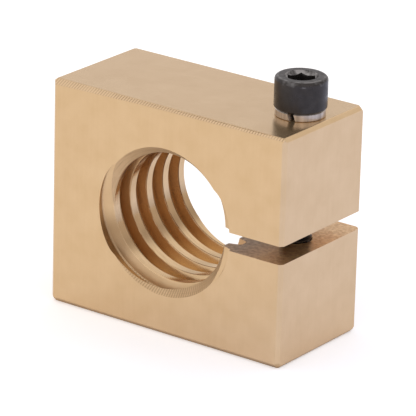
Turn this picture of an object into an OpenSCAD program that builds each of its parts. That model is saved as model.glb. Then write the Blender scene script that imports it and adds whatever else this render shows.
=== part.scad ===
// Split lead screw nut: a bronze block with a two-start left-hand thread through it.
// A slot cuts one side of the block open, and a socket screw with a spring washer under its
// head draws the two jaws together to take up the play on the lead screw.
// Origin: on the thread axis, half-way through the block.
// +X points to the slotted side, +Y from the front face to the back face, +Z up.

/* [Block] */
// Width, from the solid side to the slotted side
block_w = 53.2; // [50:0.1:60]
// Depth along the lead screw
block_d = 25.4; // [20:0.1:32]
// Height
block_h = 44.5; // [40:0.1:52]

/* [Broken edges] */
// Chamfer on the plain edges
edge = 0.65; // [0.2:0.05:1]
// Chamfer on the edges round the back face
back_edge = 0.8; // [0.2:0.05:1.2]
// Chamfer on the left and bottom edges of the front face
front_edge = 0.93; // [0.2:0.01:1.2]
// Height of the hand-filed top front edge on the front face, at its left end
filed_drop_left = 1.05; // [0.3:0.05:1.5]
// The same at its right end
filed_drop_right = 0.9; // [0.3:0.05:1.5]
// Width of that filed edge on the top face, at its left end
filed_width_left = 1; // [0.3:0.05:1.5]
// The same at its right end
filed_width_right = 0.4; // [0.2:0.05:1.5]

/* [Lead thread] */
// Diameter inside the crests
crest_d = 25.5; // [24:0.1:26.5]
// Diameter at the bottom of the grooves
root_d = 30; // [28:0.1:31]
// Distance along the axis from one groove to the next
pitch = 5; // [4.6:0.1:5.6]
// Grooves that run side by side
starts = 2; // [1:1:3]
// Width of a crest along the axis
crest_w = 1.88; // [1.5:0.02:2.2]
// Slope of the flanks, from a plane across the axis
flank = 20; // [10:1:24]
// Corner break at the bottom of a groove
root_corner = 0.25; // [0.05:0.05:0.4]
// Where the middle of a groove crosses the solid side
groove_y = -7.7; // [-9:0.05:-6]
// Depth of the chamfer at the front mouth
front_mouth = 1.65; // [0.5:0.05:2.2]
// Depth of the chamfer at the back mouth
back_mouth = 1; // [0.5:0.05:2.2]

/* [Slot and screw holes] */
// Height of the slot between the jaws
slot_h = 3.5; // [2:0.1:4]
// Distance of the screw axis from the thread axis
screw_x = 20.4; // [20:0.1:22]
// Distance of the screw axis behind the middle of the block
screw_y = 0.6; // [-2:0.1:2]
// Clearance hole in the upper jaw
clearance_d = 6.6; // [6.4:0.1:7]
// Radial play between the screw and the hole that stands for the tapped hole
thread_play = 0.05; // [0.02:0.01:0.1]

/* [Clamp screw] */
// Thread size
screw_d = 6; // [5:0.5:6]
// Length under the head
screw_l = 35; // [30:1:38]
// Head diameter
head_d = 9.8; // [9.4:0.1:10]
// Head height
head_h = 6.1; // [5.5:0.1:6.5]
// Rounding of the head's top edge
head_round = 0.65; // [0.2:0.05:1]
// Hexagon socket, across the flats
socket_af = 5; // [4:0.1:5.2]
// Depth of the hexagon socket
socket_depth = 3.4; // [2.5:0.1:4]
// Turn of the socket's corners about the screw axis
socket_turn = 6; // [0:1:59]

/* [Lock washer] */
// Outer diameter
washer_d = 9.3; // [9:0.1:10]
// Bore
washer_bore = 6.2; // [6.15:0.05:6.4]
// Thickness when flat under the head
washer_t = 1.36; // [1.2:0.02:1.6]
// Width of the split
split_w = 0.8; // [0.4:0.1:1.2]
// Direction of the split round the screw axis
split_at = -74; // [-180:1:180]
// Lean of the split from the screw axis
split_lean = 20; // [0:1:30]

/* [Hidden] */
$fn = 96;

over = 1; // how far cutters run past the faces they cut
crest_r = crest_d / 2;
root_r = root_d / 2;
lead = starts * pitch;
turn_steps = 60; // facets in one turn of a groove
top_z = block_h / 2;
head_z = top_z + washer_t;
tapped_r = screw_d / 2 + thread_play;
tapped_end = head_z - screw_l - 3; // bottom of the tapped hole, three pitches past the screw
drill_tip = 118; // angle of a drill's point
tip_break = 0.6; // chamfer on the screw's end
head_break = 0.2; // chamfer under the head
socket_r = socket_af / 2 / cos(30);
socket_lead = 0.3; // chamfer round the mouth of the socket

// A 45 degree cut with the given leg, along X through the origin
module edge_cut(leg, length) {
    rotate([45, 0, 0]) cube([length, leg * sqrt(2), leg * sqrt(2)], center = true);
}

// The four edges along one axis. sides = [low low, high low, low high, high high] legs
module edges_x(legs) {
    for (i = [0:3])
        translate([0, (i % 2 - 0.5) * block_d, (floor(i / 2) - 0.5) * block_h])
            if (legs[i] > 0) edge_cut(legs[i], block_w + 2 * over);
}

module edges_y(legs) {
    for (i = [0:3])
        translate([(i % 2 - 0.5) * block_w, 0, (floor(i / 2) - 0.5) * block_h])
            rotate([0, 0, 90]) edge_cut(legs[i], block_d + 2 * over);
}

module edges_z(legs) {
    for (i = [0:3])
        translate([(i % 2 - 0.5) * block_w, (floor(i / 2) - 0.5) * block_d, 0])
            rotate([0, 90, 0]) edge_cut(legs[i], block_h + 2 * over);
}

// The top front edge, filed by hand so that it narrows towards the slotted side
module filed_edge() {
    function corner(side, drop, width) =
        let (x = side * (block_w / 2 + over))
        [[x, -block_d / 2, top_z - drop],
         [x, -block_d / 2 + width, top_z],
         [x, -block_d / 2 - over, top_z + over]];
    polyhedron(
        concat(corner(-1, filed_drop_left, filed_width_left),
               corner(1, filed_drop_right, filed_width_right)),
        [[0, 1, 2], [3, 5, 4], [0, 3, 4], [0, 4, 1], [1, 4, 5], [1, 5, 2], [2, 5, 3], [2, 3, 0]]);
}

// Half the width of a groove at radius r
function half_groove(r) = (pitch - crest_w) / 2 - (r - crest_r) * tan(flank);

// Outline of a groove as [radius, position along the axis], from inside the bore to the root
groove_outline = let (inner = crest_r - 0.4, shoulder = root_r - root_corner) [
    [inner, -half_groove(inner)],
    [shoulder, -half_groove(shoulder)],
    [root_r, root_corner - half_groove(root_r)],
    [root_r, half_groove(root_r) - root_corner],
    [shoulder, half_groove(shoulder)],
    [inner, half_groove(inner)]];

// One groove, swept as a left-hand helix from behind the back face to before the front face
module groove(at_solid_side) {
    reach = (block_d + pitch) / 2;
    first = (at_solid_side - reach) * 360 / lead;
    steps = ceil(2 * reach / lead * turn_steps);
    n = len(groove_outline);
    points = [
        for (i = [0:steps]) let (turn = first + i * 360 / turn_steps)
        for (p = groove_outline)
            [-p[0] * cos(turn), at_solid_side - lead * turn / 360 + p[1], p[0] * sin(turn)]];
    skin = [
        for (i = [0:steps - 1]) for (j = [0:n - 1])
            let (a = i * n + j, b = i * n + (j + 1) % n, c = b + n, d = a + n)
            each [[a, b, c], [a, c, d]]];
    caps = [[for (j = [n - 1:-1:0]) j], [for (j = [0:n - 1]) steps * n + j]];
    polyhedron(points, concat(skin, caps));
}

// A cylinder or cone along the thread axis from y0 to y1
module along_y(y0, y1, r0, r1) {
    translate([0, y0, 0]) rotate([-90, 0, 0]) cylinder(h = y1 - y0, r1 = r0, r2 = r1);
}

module thread_cut() {
    front = -block_d / 2;
    back = block_d / 2;
    along_y(front - over, back + over, crest_r, crest_r);
    along_y(front - over, front + front_mouth, crest_r + front_mouth + over, crest_r);
    along_y(back - back_mouth, back + over, crest_r, crest_r + back_mouth + over);
    for (s = [0:starts - 1]) groove(groove_y + s * pitch);
}

module screw_holes() {
    translate([screw_x, screw_y, 0]) {
        cylinder(h = top_z + over, d = clearance_d);
        translate([0, 0, tapped_end]) cylinder(h = -tapped_end, r = tapped_r);
        point_h = tapped_r / tan(drill_tip / 2);
        translate([0, 0, tapped_end - point_h]) cylinder(h = point_h, r1 = 0, r2 = tapped_r);
    }
}

module nut_body() {
    color([0.82, 0.69, 0.52])
    difference() {
        cube([block_w, block_d, block_h], center = true);
        edges_x([front_edge, back_edge, 0, back_edge]);
        edges_y([edge, edge, edge, edge]);
        edges_z([front_edge, edge, back_edge, back_edge]);
        filed_edge();
        thread_cut();
        translate([0, -block_d / 2 - over, -slot_h / 2])
            cube([block_w / 2 + over, block_d + 2 * over, slot_h]);
        screw_holes();
    }
}

module lock_washer() {
    color([0.68, 0.66, 0.63])
    translate([screw_x, screw_y, top_z])
    difference() {
        cylinder(h = washer_t, d = washer_d);
        translate([0, 0, -over]) cylinder(h = washer_t + 2 * over, d = washer_bore);
        rotate([0, 0, split_at]) translate([washer_d / 2, 0, washer_t / 2]) rotate([split_lean, 0, 0])
            cube([washer_d, split_w, 3 * washer_t], center = true);
    }
}

module socket() {
    translate([0, 0, head_h - socket_depth]) {
        rotate([0, 0, socket_turn]) cylinder(h = socket_depth + over, r = socket_r, $fn = 6);
        point_h = socket_af / 2 / tan(drill_tip / 2);
        translate([0, 0, -point_h]) cylinder(h = point_h, r1 = 0, r2 = socket_af / 2);
    }
    translate([0, 0, head_h - socket_lead])
        cylinder(h = socket_lead + over, r1 = socket_af / 2, r2 = socket_af / 2 + socket_lead + over);
}

module clamp_screw() {
    shank_r = screw_d / 2;
    rim_r = head_d / 2 - head_round;
    head_r = head_d / 2;
    color([0.23, 0.23, 0.24])
    translate([screw_x, screw_y, head_z])
    difference() {
        rotate_extrude() polygon(concat(
            [[0, -screw_l], [shank_r - tip_break, -screw_l], [shank_r, -screw_l + tip_break],
             [shank_r, 0], [head_r - head_break, 0], [head_r, head_break]],
            [for (a = [0:15:90]) [rim_r + head_round * cos(a), head_h - head_round + head_round * sin(a)]],
            [[0, head_h]]));
        socket();
    }
}

nut_body();
lock_washer();
clamp_screw();
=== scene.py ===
from math import cos, pi, radians, sin, tan

import bpy
from mathutils import Matrix, Vector


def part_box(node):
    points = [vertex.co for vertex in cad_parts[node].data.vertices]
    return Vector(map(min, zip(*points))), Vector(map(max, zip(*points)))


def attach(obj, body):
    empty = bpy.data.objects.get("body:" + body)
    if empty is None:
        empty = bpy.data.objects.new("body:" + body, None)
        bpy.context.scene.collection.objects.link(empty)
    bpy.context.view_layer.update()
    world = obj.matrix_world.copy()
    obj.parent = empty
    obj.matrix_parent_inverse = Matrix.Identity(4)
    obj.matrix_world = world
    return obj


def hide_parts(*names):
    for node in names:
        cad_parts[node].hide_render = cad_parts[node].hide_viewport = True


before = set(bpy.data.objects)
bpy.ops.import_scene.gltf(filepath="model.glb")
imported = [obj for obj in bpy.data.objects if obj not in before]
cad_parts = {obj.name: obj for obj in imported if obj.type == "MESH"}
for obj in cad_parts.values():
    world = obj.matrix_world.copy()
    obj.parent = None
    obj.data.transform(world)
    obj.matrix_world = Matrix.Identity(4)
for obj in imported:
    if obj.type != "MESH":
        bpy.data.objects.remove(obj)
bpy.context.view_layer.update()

# Camera: a long lens well back from the block, looking down at its front right corner.
azimuth, elevation, roll = radians(35.907), radians(20.46), radians(1.565)
distance = 0.67275  # from the middle of the block, along the view
aside, above = 0.00064, -0.000629  # how far the lens axis passes from the middle of the block
bpy.ops.object.select_all(action="DESELECT")
bpy.ops.object.camera_add()
camera = bpy.context.object
aim = Matrix.Rotation(azimuth, 4, "Z") @ Matrix.Rotation(pi / 2 - elevation, 4, "X")
camera.matrix_world = (aim @ Matrix.Translation((aside, above, distance))
                       @ Matrix.Rotation(roll, 4, "Z"))
camera.data.sensor_width = 36
camera.data.lens = 312.4
camera.data.clip_start = 0.05
bpy.context.scene.camera = camera


# Nut block: continuous-cast tin bronze, milled square on all sides, its edges broken with a file.
# The two-start left-hand thread is cut right through it, and a slitting saw opens one side.
MM = 0.001
low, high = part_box("nut_body")
top, right, back = high.z, high.x, high.y
depth = high.y - low.y

bpy.ops.object.select_all(action="DESELECT")
bpy.ops.mesh.primitive_cube_add(size=1, location=(low + high) / 2, scale=high - low)
block = bpy.context.object
block.name = "nut_block"
bpy.ops.object.transform_apply(location=True, rotation=True, scale=True)


def plane_cut(place, normal):
    """Cut the mesh in edit mode by a plane, drop what is on the normal's side and close the cut."""
    bpy.ops.mesh.select_all(action="SELECT")
    bpy.ops.mesh.bisect(plane_co=place, plane_no=Vector(normal).normalized(), threshold=1e-7,
                        clear_outer=True, use_fill=True)


plain, behind, front = 0.65 * MM, 0.8 * MM, 0.93 * MM  # chamfer legs, by where the edge is
bpy.ops.object.mode_set(mode="EDIT")
for leg, side in [
        (front, (0, -1, -1)), (behind, (0, 1, -1)), (behind, (0, 1, 1)),
        (plain, (-1, 0, -1)), (plain, (1, 0, -1)), (plain, (-1, 0, 1)), (plain, (1, 0, 1)),
        (front, (-1, -1, 0)), (plain, (1, -1, 0)), (behind, (-1, 1, 0)), (behind, (1, 1, 0))]:
    way = Vector(side)
    edge = Vector((way.x * right, way.y * back, way.z * top))
    plane_cut(edge - way * leg / 2, way)
# Each corner away from the filed edge is dubbed off, a flat across the ends of its three edges
dub = 0.6 * MM
for side in [(-1, -1, -1), (1, -1, -1), (-1, 1, -1), (1, 1, -1), (-1, 1, 1), (1, 1, 1)]:
    way = Vector(side)
    corner = Vector((way.x * right, way.y * back, way.z * top))
    plane_cut(corner - way * dub, way)
# The top front edge is filed by hand, wider at its left end
left_drop, right_drop, filed_left, filed_right = 1.05 * MM, 0.9 * MM, 1 * MM, 0.4 * MM
left_low = Vector((-right, -back, top - left_drop))
right_low = Vector((right, -back, top - right_drop))
left_up = Vector((-right, -back + filed_left, top))
right_up = Vector((right, -back + filed_right, top))
plane_cut(left_low, (right_low - left_low).cross(right_up - left_low))
plane_cut(left_low, (right_up - left_low).cross(left_up - left_low))
bpy.ops.mesh.select_all(action="SELECT")
bpy.ops.mesh.remove_doubles(threshold=1e-6)
bpy.ops.mesh.dissolve_limited(angle_limit=radians(0.05))
bpy.ops.mesh.select_all(action="DESELECT")
bpy.ops.mesh.select_mode(type="EDGE")
bpy.ops.mesh.edges_select_sharp(sharpness=radians(27))  # not those the file left shallow
softened = 0.12 * MM  # what handling has worn off the edges
bpy.ops.mesh.bevel(offset=softened, segments=3, affect="EDGES")
bpy.ops.mesh.select_mode(type="VERT")
bpy.ops.object.mode_set(mode="OBJECT")


def cut_with(piece, cutter, how="DIFFERENCE"):
    """Take the cutter's volume out of the piece, or add it, and throw the cutter away."""
    bpy.ops.object.select_all(action="DESELECT")
    piece.select_set(True)
    bpy.context.view_layer.objects.active = piece
    cut = piece.modifiers.new("cut", "BOOLEAN")
    cut.operation = how
    cut.solver = "EXACT"
    cut.object = cutter
    bpy.ops.object.modifier_apply(modifier=cut.name)
    bpy.data.objects.remove(cutter)


def pull_rings(rings, count, place=(0, 0, 0), turn=(0, 0, 0)):
    """A closed round body: a circle pulled up through (height, radius) rings, turned and placed."""
    bpy.ops.object.select_all(action="DESELECT")
    bpy.ops.mesh.primitive_circle_add(vertices=count, radius=rings[0][1], fill_type="NGON",
                                      location=(0, 0, rings[0][0]))
    body = bpy.context.object
    bpy.ops.object.transform_apply(location=True, rotation=True, scale=True)
    bpy.ops.object.mode_set(mode="EDIT")
    bpy.ops.mesh.select_all(action="SELECT")
    for (low_end, narrow), (high_end, wide) in zip(rings, rings[1:]):
        bpy.ops.mesh.extrude_region_move(
            TRANSFORM_OT_translate={"value": (0, 0, high_end - low_end)})
        bpy.ops.transform.resize(value=(wide / narrow, wide / narrow, 1))
    bpy.ops.mesh.select_all(action="SELECT")
    bpy.ops.mesh.normals_make_consistent(inside=False)
    bpy.ops.object.mode_set(mode="OBJECT")
    body.rotation_euler = turn
    body.location = place
    bpy.ops.object.transform_apply(location=True, rotation=True, scale=True)
    return body


# The tap: one lead of the whole thread form, screwed through the block and cut off square
crest, root = 12.75 * MM, 15 * MM
pitch, starts = 5 * MM, 2
crest_width = 1.75 * MM
flank = radians(18)
slope = tan(flank)
groove_middle = -7.7 * MM  # where a groove crosses the solid side
burr = 0.07 * MM  # break on the crests' edges
rounding = 0.5 * MM  # radius in the corners of a groove's bottom
lead = starts * pitch
half = (pitch - crest_width) / 2
half_root = half - (root - crest) * slope
form = []
for start in range(starts):
    y = groove_middle + start * pitch
    one_side = [(crest, half + burr), (crest + burr, half - burr * slope)]
    for step in range(6):
        bend = flank + (pi / 2 - flank) * step / 5
        one_side.append((root - rounding * (1 - sin(bend)),
                         half_root - rounding * (1 / cos(flank) - slope - cos(bend))))
    form += [(radius, y - out) for radius, out in one_side]
    form += [(radius, y + out) for radius, out in reversed(one_side)]
form.append((crest, form[0][1] + lead))
turns = 5
bpy.ops.object.select_all(action="DESELECT")
bpy.ops.mesh.primitive_circle_add(vertices=len(form), fill_type="NOTHING")
tap = bpy.context.object
for vertex, (radius, y) in zip(tap.data.vertices, form):
    vertex.co = (-radius, y + turns * lead / 2, 0)
bpy.ops.object.mode_set(mode="EDIT")
bpy.ops.mesh.select_all(action="DESELECT")
bpy.ops.object.mode_set(mode="OBJECT")
for vertex in (tap.data.vertices[0], tap.data.vertices[-1]):
    vertex.select = True
bpy.ops.object.mode_set(mode="EDIT")
bpy.ops.mesh.delete(type="EDGE_FACE")
bpy.ops.object.mode_set(mode="OBJECT")
winding = tap.modifiers.new("thread", "SCREW")
winding.axis = "Y"
winding.angle = 2 * pi
winding.screw_offset = -lead
winding.iterations = turns
winding.steps = winding.render_steps = 120
bpy.ops.object.modifier_apply(modifier=winding.name)
bpy.ops.object.mode_set(mode="EDIT")
bpy.ops.mesh.select_all(action="SELECT")
bpy.ops.mesh.remove_doubles(threshold=1e-6)
past = 1 * MM  # how far cutters run past the faces they cut
plane_cut((0, back + past, 0), (0, 1, 0))
plane_cut((0, -back - past, 0), (0, -1, 0))
bpy.ops.mesh.select_all(action="SELECT")
bpy.ops.mesh.normals_make_consistent(inside=False)
bpy.ops.object.mode_set(mode="OBJECT")
cut_with(block, tap)

# Mouths: a chamfer at each end of the thread
front_mouth, back_mouth = 1.65 * MM, 1 * MM
along_y = (-pi / 2, 0, 0)
bare = 0.2 * MM  # the cutter's neck stays this far off the crests
mouth = pull_rings([(-back - past, crest + front_mouth + past),
                    (-back + front_mouth + bare, crest - bare),
                    (back - back_mouth - bare, crest - bare),
                    (back + past, crest + back_mouth + past)], 256, turn=along_y)
cut_with(block, mouth)

# Saw slot, then the screw's two holes: clear above the slot, tapped and blind below it
slot = 3.5 * MM
bpy.ops.object.select_all(action="DESELECT")
bpy.ops.mesh.primitive_cube_add(size=1, location=((right + past) / 2, 0, 0),
                                scale=(right + past, depth + 2 * past, slot))
saw = bpy.context.object
bpy.ops.object.transform_apply(location=True, rotation=True, scale=True)
cut_with(block, saw)

screw_low, screw_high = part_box("clamp_screw")
axis = Vector(((screw_low.x + screw_high.x) / 2, (screw_low.y + screw_high.y) / 2, 0))
clear, tapped = 3.3 * MM, 3.05 * MM
bottom = screw_low.z - 3 * MM  # three turns of thread past the screw's end
drill_point = bottom - tapped / tan(radians(59))
cut_with(block, pull_rings([(0, clear), (top + past, clear)], 96, axis))
cut_with(block, pull_rings([(drill_point, 0.01 * MM), (bottom, tapped), (0, tapped)], 96, axis))


def smooth(piece):
    """Shade the piece smooth up to 20 degrees, with its flat faces kept truly flat."""
    bpy.ops.object.select_all(action="DESELECT")
    piece.select_set(True)
    bpy.context.view_layer.objects.active = piece
    bpy.ops.object.shade_smooth_by_angle(angle=radians(20))
    by_area = piece.modifiers.new("by_area", "WEIGHTED_NORMAL")
    by_area.keep_sharp = True
    bpy.ops.object.modifier_apply(modifier=by_area.name)


smooth(block)


def linear(code):
    """The linear colour of an sRGB hex value."""
    parts = [int(code[i:i + 2], 16) / 255 for i in (0, 2, 4)]
    return [v / 12.92 if v <= 0.04045 else ((v + 0.055) / 1.055) ** 2.4 for v in parts] + [1]


def add(tree, kind, feeds, **settings):
    """Add a node; feeds gives each input a value, or the (node, output) that it is linked to."""
    node = tree.nodes.new(kind)
    for name, value in settings.items():
        setattr(node, name, value)
    for socket, source in feeds.items():
        if isinstance(source, tuple) and isinstance(source[0], bpy.types.Node):
            tree.links.new(source[0].outputs[source[1]], node.inputs[socket])
        else:
            node.inputs[socket].default_value = source
    return node


# Cast tin bronze: golden when freshly cut, and it dulls to brown where a tool leaves it rough.
# The sides are face-milled to a satin, the top is ground brighter, and painted shade darkens the
# thread's grooves.
bronze = bpy.data.materials.new("milled_tin_bronze")
bronze.use_nodes = True
tree = bronze.node_tree
shader = tree.nodes["Principled BSDF"]
where = add(tree, "ShaderNodeTexCoord", {})
place = add(tree, "ShaderNodeSeparateXYZ", {0: (where, "Object")})
facing = add(tree, "ShaderNodeSeparateXYZ", {0: (where, "Normal")})
off_axis = add(tree, "ShaderNodeVectorMath", {0: (where, "Object"), 1: (1, 0, 1)},
               operation="MULTIPLY")
radius = add(tree, "ShaderNodeVectorMath", {0: (off_axis, 0)}, operation="LENGTH")
# 1 inside the bore, where the block's own faces don't reach
in_bore = add(tree, "ShaderNodeMath", {0: (radius, "Value"), 1: root + 0.1 * MM},
              operation="LESS_THAN")
behind_face = add(tree, "ShaderNodeMath", {0: (place, "Y"), 1: 0.03 * MM - back},
                  operation="GREATER_THAN")
in_bore = add(tree, "ShaderNodeMath", {0: (in_bore, 0), 1: (behind_face, 0)},
              operation="MULTIPLY")
# 1 on the walls of the grooves, which face along the axis or lie deeper than the crests
deep = add(tree, "ShaderNodeMapRange", {"Value": (radius, "Value"), "From Min": crest + 0.05 * MM,
                                        "From Max": crest + 0.2 * MM})
along = add(tree, "ShaderNodeMath", {0: (facing, "Y")}, operation="ABSOLUTE")
groove = add(tree, "ShaderNodeMath", {0: (in_bore, 0), 1: (deep, 0)}, operation="MULTIPLY")
# 1 on the 45 degree mouth chamfers
off_slope = add(tree, "ShaderNodeMath", {0: (along, 0), 1: cos(pi / 4), 2: 0.1},
                operation="COMPARE")
mouth_chamfer = add(tree, "ShaderNodeMath", {0: (in_bore, 0), 1: (off_slope, 0)},
                    operation="MULTIPLY")
on_thread = add(tree, "ShaderNodeMath", {0: (groove, 0), 1: (mouth_chamfer, 0)},
                operation="SUBTRACT", use_clamp=True)
# 1 on the top face
top_face = add(tree, "ShaderNodeMath", {0: (facing, "Z"), 1: 0.98}, operation="GREATER_THAN")
on_top = add(tree, "ShaderNodeMath", {0: (place, "Z"), 1: top - 0.2 * MM},
             operation="GREATER_THAN")
top_face = add(tree, "ShaderNodeMath", {0: (top_face, 0), 1: (on_top, 0)}, operation="MULTIPLY")
# 1 on the two walls of the saw slot
height_off = add(tree, "ShaderNodeMath", {0: (place, "Z")}, operation="ABSOLUTE")
in_slot = add(tree, "ShaderNodeMath", {0: (height_off, 0), 1: slot / 2 + 0.02 * MM},
              operation="LESS_THAN")
upright = add(tree, "ShaderNodeMath", {0: (facing, "Z")}, operation="ABSOLUTE")
level = add(tree, "ShaderNodeMath", {0: (upright, 0), 1: 0.98}, operation="GREATER_THAN")
slot_wall = add(tree, "ShaderNodeMath", {0: (in_slot, 0), 1: (level, 0)}, operation="MULTIPLY")

# 1 on the filed edge along the top of the front
tilted = add(tree, "ShaderNodeMath", {0: (facing, "Z"), 1: 0.55, 2: 0.3}, operation="COMPARE")
forward = add(tree, "ShaderNodeMath", {0: (facing, "Y"), 1: -0.5}, operation="LESS_THAN")
filed = add(tree, "ShaderNodeMath", {0: (tilted, 0), 1: (forward, 0)}, operation="MULTIPLY")
near_top = add(tree, "ShaderNodeMath", {0: (place, "Z"), 1: top - 1.5 * MM},
               operation="GREATER_THAN")
filed = add(tree, "ShaderNodeMath", {0: (filed, 0), 1: (near_top, 0)}, operation="MULTIPLY")

# Colour: clean metal with a faint cloudiness about 4 mm across and the cutter's upright streaks,
# half a millimetre wide and drawn a little wider than they are, painted shade in the grooves that
# thins out towards the front mouth, and grey-brown saw cuts, paler where light gets into the slot
clouds = add(tree, "ShaderNodeTexNoise", {"Vector": (where, "Object"), "Scale": 250,
                                          "Detail": 3})
stretched = add(tree, "ShaderNodeVectorMath", {0: (where, "Object"), 1: (1500, 1500, 90)},
                operation="MULTIPLY")
milled = add(tree, "ShaderNodeTexNoise", {"Vector": (stretched, 0), "Scale": 1, "Detail": 2})
shades = add(tree, "ShaderNodeMix", {"Factor": 0.2, 2: (clouds, "Fac"), 3: (milled, "Fac")})
clean = add(tree, "ShaderNodeMix", {"Factor": (shades, 0), 6: linear("D4B386"),
                                    7: linear("E6C89E")}, data_type="RGBA")
# Painted shade on the groove walls, from 2.5 mm inside the front mouth inwards
inwards = add(tree, "ShaderNodeMapRange", {"Value": (place, "Y"), "From Min": 2.5 * MM - back,
                                           "From Max": 5 * MM - back})
groove_shade = add(tree, "ShaderNodeMath", {0: (on_thread, 0), 1: (inwards, 0)}, operation="MULTIPLY")
# The painted shade stops short of the bore's bottom, where the grooves mirror the bright back
# opening
shade_above_bottom = add(tree, "ShaderNodeMapRange", {"Value": (place, "Z"), "From Min": -13.5 * MM,
                                         "From Max": -10.5 * MM})
groove_shade = add(tree, "ShaderNodeMath", {0: (groove_shade, 0), 1: (shade_above_bottom, 0)}, operation="MULTIPLY")
# Painted shade darkens the first crest too, under the overhanging top of the mouth
first = add(tree, "ShaderNodeMapRange", {"Value": (place, "Y"), "From Min": 6.5 * MM - back,
                                         "From Max": 3.5 * MM - back})
under_top = add(tree, "ShaderNodeMapRange", {"Value": (place, "Z"), "From Min": 3 * MM,
                                             "From Max": 8 * MM})
first = add(tree, "ShaderNodeMath", {0: (first, 0), 1: (under_top, 0)}, operation="MULTIPLY")
on_crest = add(tree, "ShaderNodeMath", {0: (in_bore, 0), 1: (groove, 0)}, operation="SUBTRACT")
first = add(tree, "ShaderNodeMath", {0: (first, 0), 1: (on_crest, 0)}, operation="MULTIPLY")
clean = add(tree, "ShaderNodeMix", {"Factor": (first, 0), 6: (clean, 2),
                                    7: linear("94683F")}, data_type="RGBA")
# The bore is browner along its solid side, most of all 27 degrees below the middle
angle = add(tree, "ShaderNodeMath", {0: (place, "Z"), 1: (place, "X")}, operation="ARCTAN2")
brown_band = add(tree, "ShaderNodeMath", {0: (angle, 0), 1: radians(153)}, operation="ADD")
brown_band = add(tree, "ShaderNodeMath", {0: (brown_band, 0)}, operation="ABSOLUTE")
brown_band = add(tree, "ShaderNodeMapRange", {"Value": (brown_band, 0), "From Min": radians(6),
                                       "From Max": radians(26), "To Min": 0.7, "To Max": 0},
          interpolation_type="SMOOTHSTEP")
brown_band = add(tree, "ShaderNodeMath", {0: (brown_band, 0), 1: (in_bore, 0)}, operation="MULTIPLY")
clean = add(tree, "ShaderNodeMix", {"Factor": (brown_band, 0), 6: (clean, 2),
                                    7: linear("9C7C58")}, data_type="RGBA")
# The filed edge is evenly bright between its strokes
clean = add(tree, "ShaderNodeMix", {"Factor": (filed, 0), 6: (clean, 2),
                                    7: linear("E4C69E")}, data_type="RGBA")
# The grooves take the painted shade
shaded_grooves = add(tree, "ShaderNodeMix", {"Factor": (groove_shade, 0), 6: (clean, 2),
                                      7: linear("C09A70")}, data_type="RGBA")
grit = add(tree, "ShaderNodeTexNoise", {"Vector": (where, "Object"), "Scale": 1500,
                                        "Detail": 4})
mealy = add(tree, "ShaderNodeMapRange", {"Value": (grit, "Fac"), "From Min": 0.15,
                                         "From Max": 0.8})
# Painted shade and light in the saw slot: its torn walls are greyer and darker inside, and paler
# and more golden towards the open side, where light gets in
torn_wall_in_shade = add(tree, "ShaderNodeMix", {"Factor": (mealy, 0), 6: linear("96785C"),
                                      7: linear("E8D4BC")}, data_type="RGBA")
torn_wall_in_light = add(tree, "ShaderNodeMix", {"Factor": (mealy, 0), 6: linear("B8824C"),
                                        7: linear("FFDCA8")}, data_type="RGBA")
towards_opening = add(tree, "ShaderNodeMapRange", {"Value": (place, "X"), "From Min": 16 * MM,
                                         "From Max": 22 * MM})
torn_wall_lit_outwards = add(tree, "ShaderNodeMix", {"Factor": (towards_opening, 0), 6: (torn_wall_in_shade, 2),
                                        7: (torn_wall_in_light, 2)}, data_type="RGBA")
sawn = add(tree, "ShaderNodeMix", {"Factor": (slot_wall, 0), 6: (shaded_grooves, 2),
                                   7: (torn_wall_lit_outwards, 2)}, data_type="RGBA")
# Tarnish scatters light a little on the ground top, and more in the mouths and the saw cut
bare = add(tree, "ShaderNodeMath", {0: (top_face, 0), 1: -0.12, 2: 1.0},
           operation="MULTIPLY_ADD")
bare = add(tree, "ShaderNodeMath", {0: (slot_wall, 0), 1: -0.18, 2: (bare, 0)},
           operation="MULTIPLY_ADD")
bare = add(tree, "ShaderNodeMath", {0: (mouth_chamfer, 0), 1: -0.25, 2: (bare, 0)},
           operation="MULTIPLY_ADD")
tree.links.new(bare.outputs[0], shader.inputs["Metallic"])

# Gloss: satin sides, bright top, turned crests almost mirrors, dull mouths and saw cut, and a
# dull film near the front mouth where the oil has dried
satin = add(tree, "ShaderNodeMapRange", {"Value": (clouds, "Fac"), "To Min": 0.27,
                                         "To Max": 0.33})
gloss = add(tree, "ShaderNodeMix", {"Factor": (top_face, 0), 2: (satin, 0), 3: 0.23})
gloss = add(tree, "ShaderNodeMix", {"Factor": (in_bore, 0), 2: (gloss, 0), 3: 0.15})
dried = add(tree, "ShaderNodeMapRange", {"Value": (place, "Y"), "From Min": 3 * MM - back,
                                         "From Max": 7 * MM - back, "To Min": 0.42,
                                         "To Max": 0.2})
gloss = add(tree, "ShaderNodeMix", {"Factor": (first, 0), 2: (gloss, 0), 3: 0.42})
gloss = add(tree, "ShaderNodeMix", {"Factor": (on_thread, 0), 2: (gloss, 0), 3: (dried, 0)})
gloss = add(tree, "ShaderNodeMix", {"Factor": (mouth_chamfer, 0), 2: (gloss, 0), 3: 0.48})
worn = add(tree, "ShaderNodeMapRange", {"Value": (place, "X"), "From Min": 17 * MM,
                                        "From Max": 21 * MM, "To Min": 0.5, "To Max": 0.3})
gloss = add(tree, "ShaderNodeMix", {"Factor": (slot_wall, 0), 2: (gloss, 0), 3: (worn, 0)})
tree.links.new(gloss.outputs[0], shader.inputs["Roughness"])

# Relief, as heights in metres.  The tap's flanks and roots wave a few microns every 2 mm
waves = add(tree, "ShaderNodeTexNoise", {"Vector": (where, "Object"), "Scale": 500, "Detail": 2})
relief = add(tree, "ShaderNodeMath", {0: (waves, "Fac"), 1: (on_thread, 0)},
             operation="MULTIPLY")
relief = add(tree, "ShaderNodeMath", {0: (relief, 0), 1: 0.03 * MM}, operation="MULTIPLY")
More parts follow.
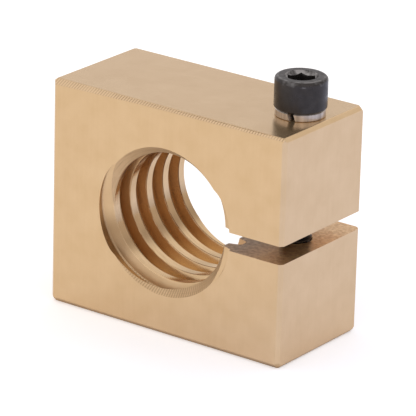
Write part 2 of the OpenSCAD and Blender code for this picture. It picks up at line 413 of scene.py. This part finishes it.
# Turned lines run round the crests and the mouths, 0.1 to 0.2 mm apart
around = add(tree, "ShaderNodeCombineXYZ", {"X": (angle, 0), "Y": (place, "Y")})
around = add(tree, "ShaderNodeVectorMath", {0: (around, 0), 1: (3, 7000, 1)},
             operation="MULTIPLY")
lines = add(tree, "ShaderNodeTexNoise", {"Vector": (around, 0), "Scale": 1, "Detail": 2})
turned = add(tree, "ShaderNodeMath", {0: (in_bore, 0), 1: (on_thread, 0)}, operation="SUBTRACT")
lines = add(tree, "ShaderNodeMath", {0: (lines, "Fac"), 1: (turned, 0)}, operation="MULTIPLY")
relief = add(tree, "ShaderNodeMath", {0: (lines, 0), 1: 0.006 * MM, 2: (relief, 0)},
             operation="MULTIPLY_ADD")
# The chamfering tool chattered at the bottom of the front mouth, 190 ripples to a turn, drawn
# as 160 so that they show
ripples = add(tree, "ShaderNodeMath", {0: (angle, 0), 1: 160}, operation="MULTIPLY")
ripples = add(tree, "ShaderNodeMath", {0: (ripples, 0)}, operation="SINE")
below = add(tree, "ShaderNodeMapRange", {"Value": (place, "Z"), "From Min": -9 * MM,
                                         "From Max": -12.5 * MM})
ripples = add(tree, "ShaderNodeMath", {0: (ripples, 0), 1: (below, 0)}, operation="MULTIPLY")
ripples = add(tree, "ShaderNodeMath", {0: (ripples, 0), 1: (mouth_chamfer, 0)},
              operation="MULTIPLY")
relief = add(tree, "ShaderNodeMath", {0: (ripples, 0), 1: 0.02 * MM, 2: (relief, 0)},
             operation="MULTIPLY_ADD")
# The file left slanting strokes half a millimetre apart, deeper in some places.  They are
# drawn 0.6 mm apart, because finer ones don't show
leaning = add(tree, "ShaderNodeMath", {0: (place, "Z"), 1: -0.5, 2: (place, "X")},
              operation="MULTIPLY_ADD")
strokes = add(tree, "ShaderNodeMath", {0: (leaning, 0), 1: 2 * pi / (0.6 * MM)},
              operation="MULTIPLY")
strokes = add(tree, "ShaderNodeMath", {0: (strokes, 0)}, operation="SINE")
bites = add(tree, "ShaderNodeTexNoise", {"Vector": (where, "Object"), "Scale": 180, "Detail": 1})
bite = add(tree, "ShaderNodeMapRange", {"Value": (bites, "Fac"), "From Min": 0.32,
                                        "From Max": 0.52, "To Min": 0.5})
strokes = add(tree, "ShaderNodeMath", {0: (strokes, 0), 1: (bite, 0)}, operation="MULTIPLY")
strokes = add(tree, "ShaderNodeMath", {0: (strokes, 0), 1: (filed, 0)}, operation="MULTIPLY")
relief = add(tree, "ShaderNodeMath", {0: (strokes, 0), 1: 0.03 * MM, 2: (relief, 0)},
             operation="MULTIPLY_ADD")
# The saw tore the slot's walls
torn = add(tree, "ShaderNodeMath", {0: (grit, "Fac"), 1: (slot_wall, 0)}, operation="MULTIPLY")
relief = add(tree, "ShaderNodeMath", {0: (torn, 0), 1: 0.06 * MM, 2: (relief, 0)},
             operation="MULTIPLY_ADD")
bump = add(tree, "ShaderNodeBump", {"Height": (relief, 0), "Distance": 1})
tree.links.new(bump.outputs[0], shader.inputs["Normal"])

# Darker in the low places: the ripples, the file strokes and the turned lines
low_ripple = add(tree, "ShaderNodeMath", {0: (ripples, 0), 1: -0.5}, operation="MULTIPLY")
low_stroke = add(tree, "ShaderNodeMath", {0: (strokes, 0), 1: -0.6}, operation="MULTIPLY")
low_line = add(tree, "ShaderNodeMapRange", {"Value": (lines, 0), "From Min": 0.5,
                                            "From Max": 0.75, "To Max": 0.35})
low_darkening = add(tree, "ShaderNodeMath", {0: (low_ripple, 0), 1: (low_stroke, 0)}, operation="ADD")
low_darkening = add(tree, "ShaderNodeMath", {0: (low_darkening, 0), 1: (low_line, 0)}, operation="MAXIMUM",
            use_clamp=True)
low_darkened = add(tree, "ShaderNodeMix", {"Factor": (low_darkening, 0), 6: (sawn, 2),
                                     7: linear("8A6744")}, data_type="RGBA")
tree.links.new(low_darkened.outputs[2], shader.inputs["Base Color"])

block.data.materials.append(bronze)
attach(block, "nut")
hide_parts("nut_body")


# Clamp screw: M6 hexagon socket head cap screw in 12.9 steel, cold headed, rolled and blackened.
# Its 24 mm of thread start below a plain shank, as on any screw of this length.
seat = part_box("lock_washer")[1].z
head_radius = (screw_high.x - screw_low.x) / 2
head_top = screw_high.z
crown, under = 0.72 * MM, 0.35 * MM  # rounding above and chamfer below
curve = [(head_top - crown + crown * sin(step * pi / 16), head_radius - crown
          + crown * cos(step * pi / 16)) for step in range(9)]
tip = screw_low.z
thread_top = tip + 24 * MM
core, shank = 2.39 * MM, 2.97 * MM
point, run_out = 0.5 * MM, 0.4 * MM  # chamfer at the tip, and the end of the thread
bearing = seat + 0.01 * MM  # a hair clear, so that the head doesn't share the washer's plane
head = pull_rings([(tip, core - point), (tip + point, core), (thread_top, core),
                   (thread_top + run_out, shank), (bearing, shank),
                   (bearing, head_radius - under), (bearing + under, head_radius)] + curve,
                  128, axis)
# The rolled thread: one pitch of the 60 degree form, wound up the core from the tip.
# The form is in millimetres, out from the axis and up from its own middle
bpy.ops.object.select_all(action="DESELECT")
bpy.ops.mesh.primitive_circle_add(vertices=5, fill_type="NOTHING")
ridge = bpy.context.object
ridge_form = [(2.3, 0.43), (2.42, 0.36), (2.97, 0.06), (2.97, -0.06), (2.42, -0.36)]
for vertex, (out, up) in zip(ridge.data.vertices, ridge_form):
    vertex.co = (out * MM, 0, tip + (1 + up) * MM)
bpy.ops.object.mode_set(mode="EDIT")
bpy.ops.mesh.select_all(action="SELECT")
bpy.ops.mesh.edge_face_add()
bpy.ops.object.mode_set(mode="OBJECT")
winding = ridge.modifiers.new("thread", "SCREW")
winding.angle = 2 * pi
winding.screw_offset = 1 * MM  # the M6 pitch
winding.iterations = 22
winding.steps = winding.render_steps = 60
bpy.ops.object.modifier_apply(modifier=winding.name)
bpy.ops.object.mode_set(mode="EDIT")
bpy.ops.mesh.select_all(action="SELECT")
bpy.ops.mesh.remove_doubles(threshold=1e-6)
bpy.ops.mesh.normals_make_consistent(inside=False)
bpy.ops.object.mode_set(mode="OBJECT")
ridge.location = axis
bpy.ops.object.transform_apply(location=True, rotation=True, scale=True)
cut_with(head, ridge, "UNION")
head.name = "clamp_screw_blackened"
# The socket: a 5 mm hexagon, 3.4 mm deep, with the punch's shallow cone in its floor
socket_radius = 2.5 * MM / cos(pi / 6)  # over the corners
socket_floor = head_top - 3.4 * MM
cone_depth, cone_radius = 0.9 * MM, 2.3 * MM
stopped_at = radians(36)  # how far round the screw was when it came tight
key = pull_rings([(socket_floor - cone_depth, 0.05 * MM), (socket_floor, cone_radius),
                  (socket_floor, socket_radius), (head_top + past, socket_radius)],
                 6, axis, (0, 0, stopped_at))
cut_with(head, key)
# The punch left the socket's mouth rounded, so it dips between the corners
mouth_radius = 3.1 * MM
lead_in = pull_rings([(head_top - 0.82 * MM, 2.45 * MM), (head_top - 0.5 * MM, 2.85 * MM),
                      (head_top - 0.15 * MM, 3.05 * MM), (head_top, mouth_radius),
                      (head_top + past, mouth_radius)], 96, axis)
cut_with(head, lead_in)
# Black oxide on steel: a thin dark skin, semi-matt, that shows paler metal where it is knocked
oxide = bpy.data.materials.new("black_oxide_steel")
oxide.use_nodes = True
tree = oxide.node_tree
shader = tree.nodes["Principled BSDF"]
where = add(tree, "ShaderNodeTexCoord", {})
place = add(tree, "ShaderNodeSeparateXYZ", {0: (where, "Object")})
flecks = add(tree, "ShaderNodeTexNoise", {"Vector": (where, "Object"), "Scale": 900,
                                          "Detail": 4})
skin = add(tree, "ShaderNodeMix", {"Factor": (flecks, "Fac"), 6: linear("2B2725"),
                                   7: linear("423D3A")}, data_type="RGBA")
# Handling has rubbed the top all over and its rounded rim in patches, half a millimetre across
facing = add(tree, "ShaderNodeSeparateXYZ", {0: (where, "Normal")})
near_rim = add(tree, "ShaderNodeMath", {0: (place, "Z"), 1: head_top - 0.5 * MM,
                                        2: 0.5 * MM}, operation="COMPARE")
level = add(tree, "ShaderNodeMapRange", {"Value": (facing, "Z"), "From Min": 0.8, "From Max": 0.97})
handled = add(tree, "ShaderNodeMath", {0: (level, 0), 1: (near_rim, 0)}, operation="MULTIPLY")
specks = add(tree, "ShaderNodeMapRange", {"Value": (flecks, "Fac"), "From Min": 0.35,
                                          "From Max": 0.65, "To Min": 0.05, "To Max": 0.8})
handled = add(tree, "ShaderNodeMath", {0: (handled, 0), 1: (specks, 0)}, operation="MULTIPLY")
patches = add(tree, "ShaderNodeTexNoise", {"Vector": (where, "Object"), "Scale": 700,
                                           "Detail": 3})
patch = add(tree, "ShaderNodeMapRange", {"Value": (patches, "Fac"), "From Min": 0.52,
                                         "From Max": 0.75, "To Max": 0.5})
rubbed = add(tree, "ShaderNodeMath", {0: (patch, 0), 1: (near_rim, 0)}, operation="MULTIPLY")
rubbed = add(tree, "ShaderNodeMath", {0: (rubbed, 0), 1: (handled, 0)}, operation="MAXIMUM")
# Painted highlight: the socket's sloping mouth is lighter, unevenly in patches
centred = add(tree, "ShaderNodeMapping", {"Vector": (where, "Object"), "Location": -axis})
off_axis = add(tree, "ShaderNodeVectorMath", {0: (centred, 0), 1: (1, 1, 0)},
               operation="MULTIPLY")
radius = add(tree, "ShaderNodeVectorMath", {0: (off_axis, 0)}, operation="LENGTH")
inside = add(tree, "ShaderNodeMath", {0: (radius, "Value"), 1: mouth_radius}, operation="LESS_THAN")
sloping = add(tree, "ShaderNodeMath", {0: (facing, "Z"), 1: 0.5, 2: 0.42}, operation="COMPARE")
socket_mouth_highlight = add(tree, "ShaderNodeMath", {0: (inside, 0), 1: (sloping, 0)}, operation="MULTIPLY")
socket_mouth_highlight = add(tree, "ShaderNodeMath", {0: (socket_mouth_highlight, 0), 1: (near_rim, 0)}, operation="MULTIPLY")
skin = add(tree, "ShaderNodeMix", {"Factor": (rubbed, 0), 6: (skin, 2),
                                   7: linear("8E8C8A")}, data_type="RGBA")
uneven = add(tree, "ShaderNodeMapRange", {"Value": (patches, "Fac"), "From Min": 0.4,
                                          "From Max": 0.6, "To Min": 0.15})
socket_mouth_highlight = add(tree, "ShaderNodeMath", {0: (socket_mouth_highlight, 0), 1: (uneven, 0)}, operation="MULTIPLY")
skin = add(tree, "ShaderNodeMix", {"Factor": (socket_mouth_highlight, 0), 6: (skin, 2),
                                   7: linear("A3A09D")}, data_type="RGBA")
tree.links.new(skin.outputs[2], shader.inputs["Base Color"])
shader.inputs["Metallic"].default_value = 0.6
gloss = add(tree, "ShaderNodeMapRange", {"Value": (patches, "Fac"), "From Min": 0.35,
                                         "From Max": 0.65, "To Min": 0.26, "To Max": 0.42})
tree.links.new(gloss.outputs[0], shader.inputs["Roughness"])
relief = add(tree, "ShaderNodeMath", {0: (flecks, "Fac"), 1: 0.02 * MM}, operation="MULTIPLY")
bump = add(tree, "ShaderNodeBump", {"Height": (relief, 0), "Distance": 1})
tree.links.new(bump.outputs[0], shader.inputs["Normal"])
head.data.materials.append(oxide)
smooth(head)
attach(head, "screw")
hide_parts("clamp_screw")


# Lock washer: a ring of spring steel wire, coiled and cut through on a slant.
# Tightened flat, only the slanting gap between its ends still shows.
washer_low, washer_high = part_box("lock_washer")
washer_radius = (washer_high.x - washer_low.x) / 2
washer_bore = 3.1 * MM
edge_round = 0.14 * MM
ring = pull_rings([(washer_low.z, washer_radius - edge_round),
                   (washer_low.z + edge_round, washer_radius),
                   (washer_high.z - edge_round, washer_radius),
                   (washer_high.z, washer_radius - edge_round)], 128, axis)
ring.name = "spring_washer"
cut_with(ring, pull_rings([(washer_low.z - past, washer_bore),
                           (washer_high.z + past, washer_bore)], 96, axis))
gap, gap_at, gap_lean = 1.15 * MM, radians(-76), radians(17)
bpy.ops.object.select_all(action="DESELECT")
bpy.ops.mesh.primitive_cube_add(size=1, scale=(6 * MM, gap, 4 * MM))
slit = bpy.context.object
bpy.ops.object.transform_apply(location=True, rotation=True, scale=True)
slit.rotation_euler = (gap_lean, 0, gap_at)
slit.location = axis + Vector((cos(gap_at), sin(gap_at), 0)) * 4.6 * MM  # astride the rim
slit.location.z = washer_low.z + (washer_high.z - washer_low.z) / 2
bpy.ops.object.transform_apply(location=True, rotation=True, scale=True)
cut_with(ring, slit)
# Spring steel: bare and grey, drawn wire, so it shines softly round its rim
steel = bpy.data.materials.new("drawn_spring_steel")
steel.use_nodes = True
tree = steel.node_tree
shader = tree.nodes["Principled BSDF"]
where = add(tree, "ShaderNodeTexCoord", {})
centred = add(tree, "ShaderNodeMapping", {"Vector": (where, "Object"), "Location": -axis})
place = add(tree, "ShaderNodeSeparateXYZ", {0: (centred, 0)})
angle = add(tree, "ShaderNodeMath", {0: (place, "Y"), 1: (place, "X")}, operation="ARCTAN2")
# Upright bands round the rim, about a millimetre wide, where the coiling rolls polished it
around = add(tree, "ShaderNodeMath", {0: (angle, 0), 1: 4}, operation="MULTIPLY")
streaks = add(tree, "ShaderNodeTexNoise", {"W": (around, 0), "Scale": 1, "Detail": 1},
              noise_dimensions="1D")
wire = add(tree, "ShaderNodeMix", {"Factor": (streaks, "Fac"), 6: linear("786E65"),
                                   7: linear("EADED2")}, data_type="RGBA")
# The ends left by the cut are rough, so they scatter light
facing = add(tree, "ShaderNodeSeparateXYZ", {0: (where, "Normal")})
rim_way = add(tree, "ShaderNodeVectorMath", {0: (centred, 0), 1: (1, 1, 0)},
              operation="MULTIPLY")
rim_way = add(tree, "ShaderNodeVectorMath", {0: (rim_way, 0)}, operation="NORMALIZE")
outwards = add(tree, "ShaderNodeVectorMath", {0: (rim_way, 0), 1: (where, "Normal")},
               operation="DOT_PRODUCT")
outwards = add(tree, "ShaderNodeMath", {0: (outwards, "Value")}, operation="ABSOLUTE")
level = add(tree, "ShaderNodeMath", {0: (facing, "Z")}, operation="ABSOLUTE")
skewed = add(tree, "ShaderNodeMath", {0: (outwards, 0), 1: (level, 0)}, operation="MAXIMUM")
cut_end = add(tree, "ShaderNodeMath", {0: (skewed, 0), 1: 0.6}, operation="LESS_THAN")
wire = add(tree, "ShaderNodeMix", {"Factor": (cut_end, 0), 6: (wire, 2),
                                   7: linear("D8C4B0")}, data_type="RGBA")
tree.links.new(wire.outputs[2], shader.inputs["Base Color"])
bare = add(tree, "ShaderNodeMapRange", {"Value": (cut_end, 0), "To Min": 1, "To Max": 0.3})
tree.links.new(bare.outputs[0], shader.inputs["Metallic"])
shader.inputs["Roughness"].default_value = 0.4
ring.data.materials.append(steel)
smooth(ring)
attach(ring, "washer")
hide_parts("lock_washer")


# Studio: a pale table in a white room, lit from all round and without lamps.
# To the lens both are plain white; metal mirrors them a little darker, as in a real room.
bpy.ops.object.select_all(action="DESELECT")
bpy.ops.mesh.primitive_plane_add(size=3, location=(0, 0, low.z))
table = bpy.context.object
table.name = "table"
card = bpy.data.materials.new("white_card")
card.use_nodes = True
tree = card.node_tree
shader = tree.nodes["Principled BSDF"]
where = add(tree, "ShaderNodeTexCoord", {})
place = add(tree, "ShaderNodeSeparateXYZ", {0: (where, "Object")})
side = add(tree, "ShaderNodeMapRange", {"Value": (place, "X"), "From Min": -0.04,
                                        "From Max": 0.06}, interpolation_type="SMOOTHSTEP")
tint = add(tree, "ShaderNodeMix", {"Factor": (side, 0), 6: (0.88, 0.87, 0.86, 1),
                                   7: (0.8, 0.83, 0.92, 1)}, data_type="RGBA")
tree.links.new(tint.outputs[2], shader.inputs["Base Color"])
shader.inputs["Roughness"].default_value = 0.9
shader.inputs["Specular IOR Level"].default_value = 0
ray = add(tree, "ShaderNodeLightPath", {})
seen = add(tree, "ShaderNodeMath", {0: (ray, "Is Camera Ray"), 1: (ray, "Is Glossy Ray")},
           operation="MAXIMUM")
mirrored = add(tree, "ShaderNodeMix", {"Factor": (side, 0), 6: (0.22, 0.22, 0.23, 1),
                                       7: (0.2, 0.23, 0.35, 1)}, data_type="RGBA")
# Nothing lifts the card where the block stands on it
beside = add(tree, "ShaderNodeMath", {0: (place, "X")}, operation="ABSOLUTE")
beside = add(tree, "ShaderNodeMath", {0: (beside, 0), 1: right}, operation="SUBTRACT")
ahead = add(tree, "ShaderNodeMath", {0: (place, "Y")}, operation="ABSOLUTE")
ahead = add(tree, "ShaderNodeMath", {0: (ahead, 0), 1: back}, operation="SUBTRACT")
outside = add(tree, "ShaderNodeMath", {0: (beside, 0), 1: (ahead, 0)}, operation="MAXIMUM")
open_card = add(tree, "ShaderNodeMapRange", {"Value": (outside, 0), "From Min": -1 * MM,
                                             "From Max": 1.5 * MM})
mirrored = add(tree, "ShaderNodeMix", {"Factor": (open_card, 0), 6: (0, 0, 0, 1),
                                       7: (mirrored, 2)}, data_type="RGBA")
lift = add(tree, "ShaderNodeMix", {"Factor": (ray, "Is Camera Ray"), 6: (mirrored, 2),
                                   7: (0.4, 0.4, 0.4, 1)}, data_type="RGBA")
tree.links.new(lift.outputs[2], shader.inputs["Emission Color"])
tree.links.new(seen.outputs[0], shader.inputs["Emission Strength"])
table.data.materials.append(card)

room = bpy.data.worlds.new("white_room")
bpy.context.scene.world = room
room.use_nodes = True
tree = room.node_tree
where = add(tree, "ShaderNodeTexCoord", {})
# The ceiling is dimmer than the walls, and bright again overhead, a little to the back
up_back = add(tree, "ShaderNodeVectorMath", {0: (where, "Generated"), 1: (0, 0.6, 0.8)},
              operation="DOT_PRODUCT")
shade = add(tree, "ShaderNodeMapRange", {"Value": (up_back, "Value"), "From Min": 0.6,
                                         "From Max": 0.75, "To Min": 0.95, "To Max": 0.77})
overhead = add(tree, "ShaderNodeMapRange", {"Value": (up_back, "Value"), "From Min": 0.82,
                                            "From Max": 0.95, "To Min": 1, "To Max": 1.25})
shade = add(tree, "ShaderNodeMath", {0: (shade, 0), 1: (overhead, 0)}, operation="MULTIPLY")
ray = add(tree, "ShaderNodeLightPath", {})
strength = add(tree, "ShaderNodeMix", {"Factor": (ray, "Is Camera Ray"), 2: (shade, 0), 3: 1.0})
tree.links.new(strength.outputs[0], tree.nodes["Background"].inputs["Strength"])
hue = add(tree, "ShaderNodeMix", {"Factor": (ray, "Is Camera Ray"), 6: (0.98, 0.95, 0.965, 1),
                                  7: (1, 1, 1, 1)}, data_type="RGBA")
tree.links.new(hue.outputs[2], tree.nodes["Background"].inputs["Color"])

bpy.context.scene.view_settings.view_transform = "Standard"
